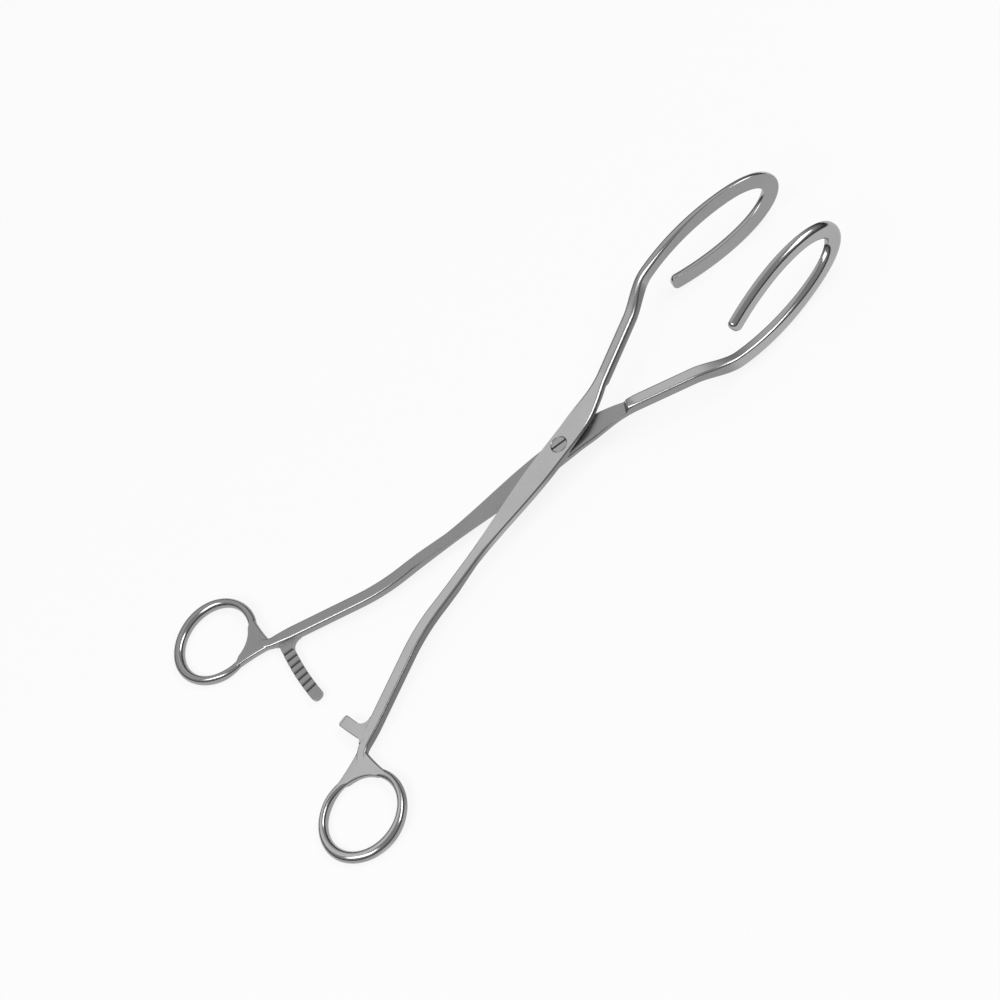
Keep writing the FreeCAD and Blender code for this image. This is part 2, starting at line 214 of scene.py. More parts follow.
def sections(center, along, flat, sizes):
    """Rounded rectangles square to a path, as rings of points. The columns of sizes are the half
    width, the reach up and down, the radii of the four edges, and how far the ground faces stand
    out below and on the grip side. An edge is the arc of its radius between the angles at which
    the two faces beside it cut it."""
    side = np.cross(up, flat)
    inward = unit(np.cross(along, side))
    side = np.cross(inward, along)
    half, high, low = sizes.T[:3]
    radii = sizes.T[3:7]
    ground_low, ground_side = sizes.T[7:]
    steps = np.linspace(0, 1, corner_points)
    edges = []
    for radius, (s, d) in zip(radii, ((1, 1), (-1, 1), (-1, -1), (1, -1))):
        reach = high if d > 0 else low
        level = high if d > 0 else ground_low
        wall = ground_side if s > 0 else half
        first = np.arccos(np.clip((wall - half + radius) / radius, 0, 1))
        last = np.arcsin(np.clip((level - reach + radius) / radius, 0, 1))
        share = steps if s == d else steps[::-1]
        angle = first[:, None] + (last - first)[:, None] * share
        across = s * ((half - radius)[:, None] + radius[:, None] * np.cos(angle))
        deep = d * ((reach - radius)[:, None] + radius[:, None] * np.sin(angle))
        edges.append(np.stack([across, deep], axis=-1))
    edges = np.stack(edges, axis=1)
    ends = edges[:, :, -1:]
    starts = np.roll(edges, -1, axis=1)[:, :, :1]
    faces = ends + (starts - ends) * flat_shares[:, None]
    outline = np.concatenate([edges, faces], axis=2).reshape(len(center), -1, 2)
    return center[:, None] + side[:, None] * outline[..., :1] + inward[:, None] * outline[..., 1:]


def bar_stations_of(jaw_edge_radius):
    """Centres, headings and sizes of the bar's sections, from the ring to the loop's root. Width
    and thickness go smoothly from the neck to the handle, to the joint and to the jaw's shank.
    The lap's floor cuts the upper half off along the joint, climbs a straight ramp towards the
    handle and ends in a hollow shoulder towards the jaw."""
    at = marks(arm_corners, bend_radii)
    to_neck, to_elbow, to_pivot, total = at[1], at[2], at[3], at[5]
    shoulder = np.linspace(-shoulder_margin, lap_shoulder_run + shoulder_margin,
                           shoulder_stations)
    places = np.linspace(0.0, total - root_blend_run, bar_stations)
    places = np.sort(np.concatenate([places, to_pivot + lap_reach_jaw + shoulder]))
    center, along = course(arm_corners, bend_radii, places)
    out = places - to_pivot
    forged_joint = joint_thickness + 2 * grind_allowance

    past_neck = (places - to_neck) / neck_swell_run
    straight = smooth(forearm_width, handle_width, (places - to_elbow) / forearm_blend_run)
    swell = (out + handle_taper_end) / (handle_taper_end - joint_flat_reach)
    thin = (out + thickness_taper_end) / (thickness_taper_end - thickness_taper_start)
    handle_wide = smooth(neck_width, smooth(straight, joint_width, swell), past_neck)
    handle_thick = smooth(handle_thickness, forged_joint, thin)
    handle_thick = smooth(neck_thickness, handle_thick, 2 * past_neck)
    handle_thick = smooth(web_thickness - ring_end_sink, handle_thick, places / to_neck)
    shrink = (out - joint_flat_reach) / (jaw_taper_end - joint_flat_reach)
    width = np.where(out < 0, handle_wide, smooth(joint_width, jaw_shank_width, shrink))
    thick = np.where(out < 0, handle_thick, smooth(forged_joint, jaw_shank_thickness, shrink))
    radius = smooth(handle_edge_radius, jaw_edge_radius, out / jaw_taper_end)

    climb = np.clip((-out - lap_reach_handle) / lap_ramp_run, 0, None)
    ramp = -lap_gap / 2 + climb * (joint_thickness + lap_gap) / 2
    shoulder = smooth(-lap_gap / 2, thick / 2, (out - lap_reach_jaw) / lap_shoulder_run)
    high = np.where(out < 0, np.minimum(thick / 2, ramp), shoulder)
    lobe_run = shoulder_lobe_runs * lap_shoulder_run
    at_shoulder = (out > 0) * smooth(1, 0, (out - lap_reach_jaw) / lobe_run)
    lobe = radius + (shoulder_lobe_share * width - radius) * at_shoulder
    room = np.where(out > 0, high + thick / 2 - radius, radius)
    top_radius = np.clip(lobe - (thick / 2 - high), lap_edge_radius, room)
    ground_low = np.minimum(thick / 2, joint_thickness / 2)
    sizes = np.stack([width / 2, high, thick / 2, top_radius, top_radius, radius, radius,
                      ground_low, width / 2], axis=-1)
    return center, along, sizes


def loop_stations_of(jaw_edge_radius):
    """Centres, headings and sizes of the loop's sections, from its root round the tip to the free
    end. There the flat narrows as the cosine of an angle while the section moves on by the sine,
    and the back comes down towards the grip face, which stays in its plane."""
    root_sweep = math.sqrt(1 - loop_root_share)
    sweep = np.linspace(root_sweep, -math.sqrt(1 - loop_gap_share), loop_stations)
    along = unit(loop_points(sweep - sweep_step) - loop_points(sweep + sweep_step))
    settle = (root_sweep - sweep) / (root_sweep - tip_sweep)
    near_tip = 1 - np.abs(sweep) / tip_sweep
    depth = smooth(jaw_shank_width * root_depth_share, leg_depth, settle)
    depth = np.where(sweep > 0, smooth(depth, tip_depth, near_tip), tip_depth) + grind_allowance
    flat = smooth(smooth(leg_flat * root_flat_share, leg_flat, settle), tip_flat, near_tip)
    face = smooth(jaw_edge_radius, leg_face_edge_radius, settle)
    back = smooth(jaw_edge_radius, leg_back_radius, settle)
    center = loop_points(sweep) + grip_way * (leg_depth / 2 + grind_allowance - depth / 2)[:, None]
    sizes = np.stack([depth / 2, flat / 2, flat / 2, face, back, back, face, flat / 2,
                      depth / 2 - grind_allowance], axis=-1)

    angle = np.radians(np.linspace(0, dome_last_angle, dome_stations + 1)[1:])
    narrow = np.cos(angle)
    thin = dome_thin_share + (1 - dome_thin_share) * narrow
    domed = np.repeat(sizes[-1:], dome_stations, axis=0)
    domed[:, [1, 2, 7]] *= narrow[:, None]
    domed[:, [0, 3, 4, 5, 6]] *= thin[:, None]
    domed[:, [4, 5]] = np.minimum(domed[:, [4, 5]], dome_back_share * domed[:, [1, 2]])
    domed[:, 8] = domed[:, 0] - grind_allowance
    shift = (sizes[-1, 0] - domed[:, 0])[:, None]
    ends = center[-1] + along[-1] * free_end_dome * np.sin(angle)[:, None] + grip_way * shift
    return (np.concatenate([center, ends]),
            np.concatenate([along, np.repeat(along[-1:], dome_stations, axis=0)]),
            np.concatenate([sizes, domed]))


def bar_and_loop(jaw_edge_radius):
    """Sections of a whole forging. Between the bar and the loop the centre line is the cubic that
    leaves one and meets the other along their headings, and the sizes go smoothly across."""
    center, along, sizes = bar_stations_of(jaw_edge_radius)
    loop_center, loop_along, loop_sizes = loop_stations_of(jaw_edge_radius)
    share = np.linspace(0, 1, root_stations + 2)[1:-1, None]
    gap = np.linalg.norm(loop_center[0] - center[-1])
    leave, meet = along[-1] * gap, loop_along[0] * gap
    square, cube = share ** 2, share ** 3
    middle = ((2 * cube - 3 * square + 1) * center[-1] + (cube - 2 * square + share) * leave
              + (3 * square - 2 * cube) * loop_center[0] + (cube - square) * meet)
    way = unit((6 * square - 6 * share) * (center[-1] - loop_center[0])
               + (3 * square - 4 * share + 1) * leave + (3 * square - 2 * share) * meet)
    flat = unit(smooth(along[-1], loop_heading, share))
    return sections(np.concatenate([center, middle, loop_center]),
                    np.concatenate([along, way, loop_along]),
                    np.concatenate([along, flat, np.tile(loop_heading, (len(loop_center), 1))]),
                    np.concatenate([sizes, smooth(sizes[-1], loop_sizes[0], share), loop_sizes]))


def solid(name, rings, closed=False):
    """Closed mesh of a profile carried along a path. Each ring of points is joined to the next in
    four-sided faces, and the path is closed on itself or its two end profiles are faces."""
    count, around = rings.shape[:2]
    index = np.arange(count * around).reshape(count, around)
    if closed:
        index = np.concatenate([index, index[:1]])
    ahead = np.roll(index, -1, axis=1)
    faces = np.stack([index[:-1], ahead[:-1], ahead[1:], index[1:]], axis=-1).reshape(-1, 4)
    ends = [] if closed else [index[0, ::-1].tolist(), index[-1].tolist()]
    mesh = bpy.data.meshes.new(name)
    mesh.from_pydata((rings.reshape(-1, 3) * millimetre).tolist(), [], faces.tolist() + ends)
    shell = bmesh.new()
    shell.from_mesh(mesh)
    bmesh.ops.recalc_face_normals(shell, faces=shell.faces)
    shell.to_mesh(mesh)
    shell.free()
    return mesh


def worked(blank, added=(), cut=()):
    """Mesh of a closed blank with other closed meshes welded on, and others then cut away."""
    piece = bpy.data.objects.new("blank", blank)
    bpy.context.scene.collection.objects.link(piece)
    tools = []
    for operation, meshes in (("UNION", added), ("DIFFERENCE", cut)):
        for mesh in meshes:
            tool = bpy.data.objects.new("tool", mesh)
            bpy.context.scene.collection.objects.link(tool)
            step = piece.modifiers.new(mesh.name, "BOOLEAN")
            step.operation = operation
            step.solver = "EXACT"
            step.object = tool
            tools.append(tool)
    made = bpy.data.meshes.new_from_object(
        piece.evaluated_get(bpy.context.evaluated_depsgraph_get()))
    for thing in [piece] + tools:
        bpy.data.objects.remove(thing)
    return made


# Finger rings and their webs
# The ring is a band of oval section, forged in one with the arm. A flat web spreads from the
# neck to the ring and runs flush up to the edge of the hole, with its flanks rounded over.
ring_band_width = 2.7
ring_band_height = 3.5
web_overlap = 0.7
web_edge_radius = 0.8
web_side_sag = 0.5
web_root_share = 0.42
web_face_angle = 38.0
web_flush_angle = 24.0
web_hole_margin = 0.25
web_sink = 0.06
band_swell_start = 26.0
band_swell_end = 66.0
ring_far_width = 3.6
band_widen_start = 70.0
band_widen_end = 150.0
band_stations = 180
oval_points = 36
flank_points = 24
hole_edge_points = 30
web_edge_steps = 7


def about_ring(radius, angle):
    """Points at radii from the ring's axis and at angles from the way to the neck."""
    toward = unit(neck - ring_center)
    turn = np.radians(np.atleast_1d(angle))[..., None]
    return ring_center + radius * (toward * np.cos(turn) + np.cross(up, toward) * np.sin(turn))


def ring_band():
    """Oval carried round the ring's axis. Its height goes smoothly from the web's thickness, on
    the neck's side, to the full band, and on the far side it widens outwards."""
    angle = np.linspace(-180, 180, band_stations, endpoint=False)[:, None]
    oval = np.linspace(0, 2 * math.pi, oval_points, endpoint=False)
    past_side = (np.abs(angle) - band_widen_start) / (band_widen_end - band_widen_start)
    half_width = smooth(ring_band_width, ring_far_width, past_side) / 2
    radius = ring_mid_radius - ring_band_width / 2 + half_width * (1 + np.cos(oval))
    past_web = (np.abs(angle) - band_swell_start) / (band_swell_end - band_swell_start)
    half_height = smooth(web_thickness / 2 - web_sink, ring_band_height / 2, past_web)
    points = about_ring(radius[..., None], np.broadcast_to(angle, radius.shape))
    return points - up * (half_height * np.sin(oval))[..., None]


def web_plate():
    """Outline of the web at heights up its rounded edge. At an angle a of that edge's arc the
    outline moves in by r (1 - sin a) and the height is r (1 - cos a) short of the face. A flank
    is the parabola through its root at the neck, its sagging middle and its touch on the ring,
    and the inner side follows the hole and rises under the band at both ends."""
    outward = np.cross(up, unit(neck - ring_center))
    outer = ring_mid_radius + web_overlap
    reach = math.degrees(math.acos(outer / neck_to_ring))
    share = np.linspace(0, 1, flank_points)[:, None]
    flanks = []
    for side in (1, -1):
        root = neck + outward * side * neck_width * web_root_share
        touch = about_ring(outer, side * reach)[0]
        control = (root + touch) / 2 - outward * side * 2 * web_side_sag
        flanks.append((1 - share) ** 2 * root + 2 * share * (1 - share) * control
                      + share ** 2 * touch)
    angle = np.linspace(web_face_angle, -web_face_angle, hole_edge_points)
    hole = ring_mid_radius - ring_band_width / 2 + web_hole_margin
    radius = smooth(hole, ring_mid_radius, (np.abs(angle) - web_flush_angle)
                    / (web_face_angle - web_flush_angle))
    inner = about_ring(radius[:, None], angle)
    outline = np.concatenate([flanks[0], inner, flanks[1][::-1]])
    sides = np.concatenate([np.ones(flank_points), np.linspace(1, -1, hole_edge_points),
                            -np.ones(flank_points)])
    angle = np.radians(np.linspace(0, 90, web_edge_steps))
    inset = web_edge_radius * (1 - np.sin(angle))
    height = web_thickness / 2 - web_edge_radius * (1 - np.cos(angle))
    inset = np.concatenate([inset, inset[::-1]])
    height = np.concatenate([-height, height[::-1]])
    moved = outline - inset[:, None, None] * sides[:, None] * outward
    return moved + height[:, None, None] * up


# Ratchet bars
# A curved bar stands out from each forearm towards the other, and its sawtooth face meets the
# other bar's when the rings are squeezed. The teeth are milled, and the bar runs into the
# forearm in two fillets.
ratchet_radius = 104.5
ratchet_width = 3.9
ratchet_gap = 0.10
ratchet_pitch = 2.8
ratchet_tooth_depth = 0.6
ratchet_tooth_share = 0.85
ratchet_steep_run = 0.08
ratchet_low_edge = 0.3
ratchet_top_edge = 0.12
ratchet_root_sink = 0.3
pivot_side_fillet = 2.8
ring_side_fillet = 1.4
fillet_sink = 0.2
fillet_depth = 0.7
fillet_points = 18
flush_sink = 0.015
tip_first_angle = 5.0
tip_corner_steps = 9


def ratchet_turn(radius, width):
    """Arc length from the axis, and the point, where a circle about the pivot meets a line beside
    the forearm's middle: the root of |start + along t| = radius."""
    along = heading(180 - forearm_angle)
    start = elbow + np.cross(up, along) * (width / 2)
    middle = start @ along
    spot = start + along * (-middle + math.sqrt(middle ** 2 - start @ start + radius ** 2))
    return math.atan2(spot[1], -spot[0]) * ratchet_radius, spot


def toothed_bar(tip_offset, plain_tip, tooth_count, corner_radius):
    """Rounded rectangle carried along an arc about the pivot, from the tip into the forearm. At
    the tip its half width grows as the sine of the corners' angle, and along the teeth its top
    drops steeply and climbs back in a line."""
    corner = np.radians(np.linspace(tip_first_angle, 90, tip_corner_steps))
    starts = tip_offset + plain_tip + ratchet_pitch * np.arange(tooth_count)
    steps = np.array([0, ratchet_steep_run, ratchet_pitch * ratchet_tooth_share / 2,
                      ratchet_pitch * ratchet_tooth_share])
    drops = ratchet_tooth_depth * np.array([0, 1, 0.5, 0])
    offset = np.concatenate([tip_offset + corner_radius * (1 - np.cos(corner)),
                             (starts[:, None] + steps).ravel(),
                             [ratchet_turn(ratchet_radius, ratchet_root_sink)[0]]])
    count = len(offset)
    half = np.full(count, ratchet_width / 2)
    half[:len(corner)] -= corner_radius * (1 - np.sin(corner))
    top = np.full(count, -ratchet_gap / 2)
    top[len(corner):-1] -= np.tile(drops, tooth_count)
    low = np.full(count, handle_thickness / 2 - flush_sink)
    top_edge = np.full(count, ratchet_top_edge)
    low_edge = np.full(count, ratchet_low_edge)
    angle = np.degrees(offset / ratchet_radius)
    along = heading(90 - angle)
    sizes = np.stack([half, top, low, top_edge, top_edge, low_edge, low_edge, low, half], axis=-1)
    return sections(heading(180 - angle) * ratchet_radius, along, along, sizes)


def root_fillet(side, fillet, forearm_edge):
    """Prism in the corner between the bar and the forearm. Its free side is the arc that touches
    both, about a point r / sin(a / 2) out from the corner of angle a, and the rest is sunk."""
    end, corner = ratchet_turn(ratchet_radius + side * ratchet_width / 2,
                               forearm_edge - fillet_sink)
    tip_way = -heading(90 - math.degrees(end / ratchet_radius))
    forearm_way = side * heading(180 - forearm_angle)
    outward = unit(tip_way + forearm_way)
    across = unit(forearm_way - tip_way)
    half = math.acos(tip_way @ forearm_way) / 2
    angle = np.linspace(half - math.pi / 2, math.pi / 2 - half, fillet_points)[:, None]
    arc = (corner + outward * fillet / math.sin(half)
           + fillet * (across * np.sin(angle) - outward * np.cos(angle)))
    sunk = [arc[-1] - outward * fillet_depth, corner - outward * fillet_depth,
            arc[0] - outward * fillet_depth]
    outline = np.concatenate([arc, sunk])
    levels = np.array([flush_sink * 2 - handle_thickness / 2, -ratchet_gap / 2 - flush_sink])
    return outline + levels[:, None, None] * up


def ratchet_parts(tip_offset, plain_tip, tooth_count, corner_radius):
    """The bar and the fillets at its root."""
    return [solid("ratchet bar", toothed_bar(tip_offset, plain_tip, tooth_count, corner_radius)),
            solid("ring side fillet", root_fillet(1, ring_side_fillet, neck_width)),
            solid("pivot side fillet", root_fillet(-1, pivot_side_fillet, forearm_width))]


# Stainless steel
# The forgings are ground, glass-beaded to a satin grey on their flat faces, and buffed on a soft
# wheel over their rounded backs, edges and rings.
polish_tone = 0.42
grip_tone = 0.34
# Painted shade: the steep sides of the loops and the rings are drawn darker.
loop_side_painted_shade = 0.4
ring_side_painted_shade = 0.32
steel_tint = (1.0, 1.0, 1.01)
# Painted shade on faces towards +Y.
away_painted_shade = 0.62
# Painted shadow in the roots of the ratchet's teeth.
groove_painted_shade = 0.88
cloud_shade = 0.2
bead_shade = 0.24
polish_roughness = 0.15
satin_roughness = 0.23
handle_roughness = 0.11
cloud_roughness = 0.08
buff_roughness = 0.05
bead_scale, bead_detail, bead_height = 2600.0, 3.0, 0.6
cloud_scale, cloud_detail = 70.0, 4.0
buff_scale, buff_detail, buff_height = 1900.0, 2.0, 0.25
wave_scale, wave_detail, wave_height = 160.0, 1.0, 3.0
buff_stretch = 0.05
bump_strength = 0.3
bump_distance = 0.00002
flat_from, flat_full = 0.955, 0.99
steep_full, steep_from = 0.35, 0.8
away_from, away_full = 0.15, 0.55
shank_from, shank_full = 0.0235, 0.0255
loop_from, loop_full = 0.050, 0.056
ring_full, ring_from = -0.108, -0.104
bar_side, past_bar = 0.5, 0.55
groove_from, groove_full = 0.25, 0.8
facing_from, facing_full = 0.5, 0.7


class Link:
    """A shader value. Python's operators on it add the Math nodes that they stand for."""

    def __init__(self, shader, socket):
        self.shader = shader
        self.socket = socket

    def math(self, operation, *values):
        return self.shader.node("ShaderNodeMath", {"operation": operation},
                                dict(enumerate(values)))

    def __add__(self, other):
        return self.math("ADD", self, other)

    def __radd__(self, other):
        return self.math("ADD", other, self)

    def __sub__(self, other):
        return self.math("SUBTRACT", self, other)

    def __rsub__(self, other):
        return self.math("SUBTRACT", other, self)

    def __mul__(self, other):
        return self.math("MULTIPLY", self, other)

    def __rmul__(self, other):
        return self.math("MULTIPLY", other, self)

    def __abs__(self):
        return self.math("ABSOLUTE", self)

    def ramp(self, low, high):
        """0 below low, 1 above high and smooth between them."""
        return self.shader.node("ShaderNodeMapRange", {"interpolation_type": "SMOOTHSTEP"},
                                {"Value": self, "From Min": low, "From Max": high})


class Shader:
    """The node tree of one material or world, built by one method for every type of node."""

    def __init__(self, owner):
        owner.use_nodes = True
        self.owner = owner
        self.tree = owner.node_tree
        self.tree.nodes.clear()

    def node(self, kind, settings=None, values=None, output=0):
        made = self.tree.nodes.new(kind)
        for setting, value in (settings or {}).items():
            setattr(made, setting, value)
        for socket, value in (values or {}).items():
            if isinstance(value, Link):
                self.tree.links.new(value.socket, made.inputs[socket])
            else:
                made.inputs[socket].default_value = value
        return Link(self, made.outputs[output]) if made.outputs else made

    def along(self, vector, axis):
        """Part of a vector that points along an axis."""
        return self.node("ShaderNodeVectorMath", {"operation": "DOT_PRODUCT"},
                         {0: vector, 1: axis}, output="Value")

    def noise(self, place, scale, detail):
        """Noise from 0 to 1 over a place in metres."""
        return self.node("ShaderNodeTexNoise", {}, {"Vector": place, "Scale": scale,
                                                    "Detail": detail})


def steel(name, face_painted_shading, shank_painted_shading, side_painted_shade, grip_normal, top):
    """Satin on the flats that face along the pivot or into the jaws' grip, and polish on what is
    rounded. The flats' tones are painted light and shade, and the steep sides are darkened with
    painted shade. The roots of the ratchet's teeth hold a line of painted shadow: top is 1 where
    the teeth face up and -1 where they face down. Edges that face +Y are darkest, with painted
    shade."""
    shader = Shader(bpy.data.materials.new(name))
    place = shader.node("ShaderNodeTexCoord", output="Object")
    normal = shader.node("ShaderNodeTexCoord", output="Normal")
    level = abs(shader.along(normal, (0, 0, 1)))
    reach = shader.along(place, (1, 0, 0))
    on_shank = reach.ramp(shank_from, shank_full)
    on_loop = reach.ramp(loop_from, loop_full)
    on_ring = 1 - reach.ramp(ring_full, ring_from)
    flat = level.ramp(flat_from, flat_full) * (1 - on_loop)
    ground = shader.along(normal, grip_normal).ramp(flat_from, flat_full)
    steep = (1 - level.ramp(steep_full, steep_from)) * (1 - ground)
    grip = ground * on_loop
    satin = shader.node("ShaderNodeMath", {"operation": "MAXIMUM"}, {0: flat, 1: grip})
    # Painted shade: faces towards +Y are darkened, except on the ground faces and the rings.
    away = (shader.along(normal, (0, 1, 0)).ramp(away_from, away_full)
            * (1 - ground) * (1 - on_ring))

    bead = shader.noise(place, bead_scale, bead_detail)
    cloud = shader.noise(place, cloud_scale, cloud_detail)
    stretched = shader.node("ShaderNodeMapping", {}, {"Vector": place,
                                                      "Scale": (buff_stretch, 1.0, 1.0)})
    buff = shader.noise(stretched, buff_scale, buff_detail)
    wave = shader.noise(place, wave_scale, wave_detail)

    plan = shader.node("ShaderNodeVectorMath", {"operation": "MULTIPLY"},
                       {0: place, 1: (1.0, 1.0, 0.0)})
    radius = shader.node("ShaderNodeVectorMath", {"operation": "LENGTH"}, {0: plan},
                         output="Value")
    width = ratchet_width * millimetre
    tooth = ratchet_tooth_depth * millimetre
    beside = abs(radius - ratchet_radius * millimetre)
    on_bar = 1 - beside.ramp(bar_side * width, past_bar * width)
    # Painted shadow: a dark line deep in the roots of the ratchet's teeth, on faces that look out
    # of the bar.
    depth = shader.along(place, (0, 0, -top)) - ratchet_gap / 2 * millimetre
    facing = shader.along(normal, (0, 0, top)).ramp(facing_from, facing_full)
    groove = on_bar * depth.ramp(groove_from * tooth, groove_full * tooth) * facing

    on_handle = (1 - on_loop) * (1 - on_ring) * (1 - satin)
    roughness = (polish_roughness + satin * satin_roughness + on_handle * handle_roughness
                 + (cloud - 0.5) * cloud_roughness + (buff - 0.5) * buff_roughness)
    shade = 1 + (cloud - 0.5) * cloud_shade + (bead - 0.5) * bead_shade * satin
    # Painted shade: the steep sides take a darker tone than the flats and the rounded backs.
    steep_painted_shade = (side_painted_shade + on_loop * (loop_side_painted_shade - side_painted_shade)
                  + on_ring * (ring_side_painted_shade - side_painted_shade))
    # Painted light and shade: the flats take each arm's own tone, changed again on the jaw's
    # shank.
    flat_painted_shading = face_painted_shading + on_shank * (shank_painted_shading - face_painted_shading)
    tone = polish_tone + flat * (flat_painted_shading - polish_tone) + grip * (grip_tone - polish_tone)
    tone = (tone * (1 - steep) + steep * steep_painted_shade) * (1 - away * away_painted_shade)
    color = shader.node("ShaderNodeVectorMath", {"operation": "SCALE"},
                        {0: steel_tint, "Scale": tone * shade * (1 - groove * groove_painted_shade)})
    height = bead * satin * bead_height + buff * buff_height + wave * wave_height
    bump = shader.node("ShaderNodeBump", {}, {"Height": height, "Strength": bump_strength,
                                              "Distance": bump_distance})
    surface = shader.node("ShaderNodeBsdfPrincipled", {},
                          {"Base Color": color, "Metallic": 1.0, "Roughness": roughness,
                           "Normal": bump})
    shader.node("ShaderNodeOutputMaterial", {}, {"Surface": surface})
    return shader.owner


crease_angle = math.radians(27)


def fitted(name, mesh, material, body, node):
    """A finished piece that stands for a solid of the frame and moves with its body."""
    mesh.materials.clear()
    mesh.materials.append(material)
    mesh.shade_smooth()
    mesh.set_sharp_from_angle(angle=crease_angle)
    piece = bpy.data.objects.new(name, mesh)
    bpy.context.scene.collection.objects.link(piece)
    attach(piece, body)
    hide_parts(node)
    return piece


# Lower arm
# The arm that lies underneath at the joint. It carries the longer ratchet bar, has its lap on
# top, and its tapped hole takes the screw's end.
screw_thread_diameter = 3.0
screw_seat_clearance = 0.02
hole_countersink = 0.15
tool_overrun = 1.0
hole_points_around = 72


def drill(profile):
    """Circles about the pivot at the radii and heights of a profile."""
    angle = np.linspace(0, 2 * math.pi, hole_points_around, endpoint=False)
    radius, height = np.array(profile).T
    rings = [radius[:, None] * np.cos(angle), radius[:, None] * np.sin(angle),
             np.broadcast_to(height[:, None], (len(height), hole_points_around))]
    return np.stack(rings, axis=-1)


lower_jaw_edge_radius = 0.9
lower_bar_tip = -0.9
lower_bar_plain_tip = 4.4
lower_bar_teeth = 7
lower_bar_corner = 1.5
# Painted light and shade: the lower arm's lap and handle flats are drawn darker, its jaw shank's
# flats lighter, and its steep sides darker.
lower_face_painted_shading = 0.34
lower_shank_painted_shading = 0.56
lower_side_painted_shade = 0.28
lower_forging = worked(
    solid("lower bar", bar_and_loop(lower_jaw_edge_radius)),
    added=[solid("ring band", ring_band(), closed=True), solid("web", web_plate())]
    + ratchet_parts(lower_bar_tip, lower_bar_plain_tip, lower_bar_teeth, lower_bar_corner))
tapped = screw_thread_diameter / 2 + screw_seat_clearance
face = joint_thickness / 2
tap = drill([(tapped + tool_overrun + hole_countersink, -face - tool_overrun),
             (tapped, -face + hole_countersink), (tapped, tool_overrun)])
lower_forging = worked(lower_forging, cut=[solid("tap", tap)])
toe_in = math.radians(jaw_toe_in)
lower_steel = steel("lower arm steel", lower_face_painted_shading, lower_shank_painted_shading, lower_side_painted_shade,
                    (-math.sin(toe_in), math.cos(toe_in), 0), 1)
fitted("lower_arm_forging", lower_forging, lower_steel, "lower_arm", "lower_arm")

# Upper arm
# The same forging turned over onto the lower one, with a shorter ratchet bar. Its outer face is
# bored through for the screw's shoulder and sunk for its head.
screw_head_diameter = 5.2
screw_head_height = 1.1
screw_shoulder_diameter = 3.6
screw_running_clearance = 0.04
upper_jaw_edge_radius = 1.5
upper_bar_tip = 15.0
upper_bar_plain_tip = 0.7
upper_bar_teeth = 3
upper_bar_corner = 0.8
# Painted light and shade: the upper arm's lap and handle flats are drawn lighter, its jaw shank's
# flats a little darker, and its steep sides darker.
upper_face_painted_shading = 0.58
upper_shank_painted_shading = 0.50
upper_side_painted_shade = 0.19
upper_forging = worked(
    solid("upper bar", bar_and_loop(upper_jaw_edge_radius)),
    added=[solid("ring band", ring_band(), closed=True), solid("web", web_plate())]
    + ratchet_parts(upper_bar_tip, upper_bar_plain_tip, upper_bar_teeth, upper_bar_corner))
upper_forging.transform(Matrix.Diagonal((1.0, -1.0, -1.0, 1.0)))
bore = screw_shoulder_diameter / 2 + screw_running_clearance
sink = screw_head_diameter / 2 + screw_running_clearance
seat = face - screw_head_height - screw_running_clearance
boring = drill([(bore, -tool_overrun), (bore, seat), (sink, seat),
                (sink, face - hole_countersink),
                (sink + hole_countersink + tool_overrun, face + tool_overrun)])
upper_forging = worked(upper_forging, cut=[solid("boring", boring)])
upper_steel = steel("upper arm steel", upper_face_painted_shading, upper_shank_painted_shading, upper_side_painted_shade,
                    (-math.sin(toe_in), -math.cos(toe_in), 0), -1)
fitted("upper_arm_forging", upper_forging, upper_steel, "upper_arm", "upper_arm")

# Pivot screw
# A slotted screw turned from bar. Its head lies flush in the upper arm, its plain shoulder is
# the bearing, and its end is screwed into the lower arm and filed flush.
screw_slot_width = 0.7
screw_slot_depth = 0.6
screw_slot_angle = -12.0
head_rim_radius = 0.18
rim_steps = 6
end_chamfer = 0.15
screw_tone = 0.45
# Painted shade: the slot's steep sides are drawn darker.
slot_side_painted_shade = 0.19

under_head = face - screw_head_height
head = screw_head_diameter / 2
shoulder = screw_shoulder_diameter / 2
thread = screw_thread_diameter / 2
rim = np.radians(np.linspace(0, 90, rim_steps))
profile = [(thread - end_chamfer, -face), (thread, -face + end_chamfer), (thread, -lap_gap / 2),
           (shoulder, -lap_gap / 2), (shoulder, under_head), (head, under_head)]
profile += [(head - head_rim_radius * (1 - math.cos(angle)),
             face - head_rim_radius * (1 - math.sin(angle))) for angle in rim]
slot_reach = head + tool_overrun
slot_half = screw_slot_width / 2
slot_turn = Matrix.Rotation(math.radians(screw_slot_angle), 3, "Z")
slot_outline = np.array([(-slot_reach, -slot_half, 0), (slot_reach, -slot_half, 0),
                         (slot_reach, slot_half, 0), (-slot_reach, slot_half, 0)])
slot_heights = np.array([face - screw_slot_depth, face + tool_overrun])
slot_rings = slot_outline @ np.array(slot_turn).T + slot_heights[:, None, None] * up
screw_mesh = worked(solid("screw blank", drill(profile)), cut=[solid("slot", slot_rings)])
screw_steel = steel("screw steel", screw_tone, screw_tone, slot_side_painted_shade, (1, 0, 0), 1)
fitted("slotted_pivot_screw", screw_mesh, screw_steel, "lower_arm", "pivot_screw")

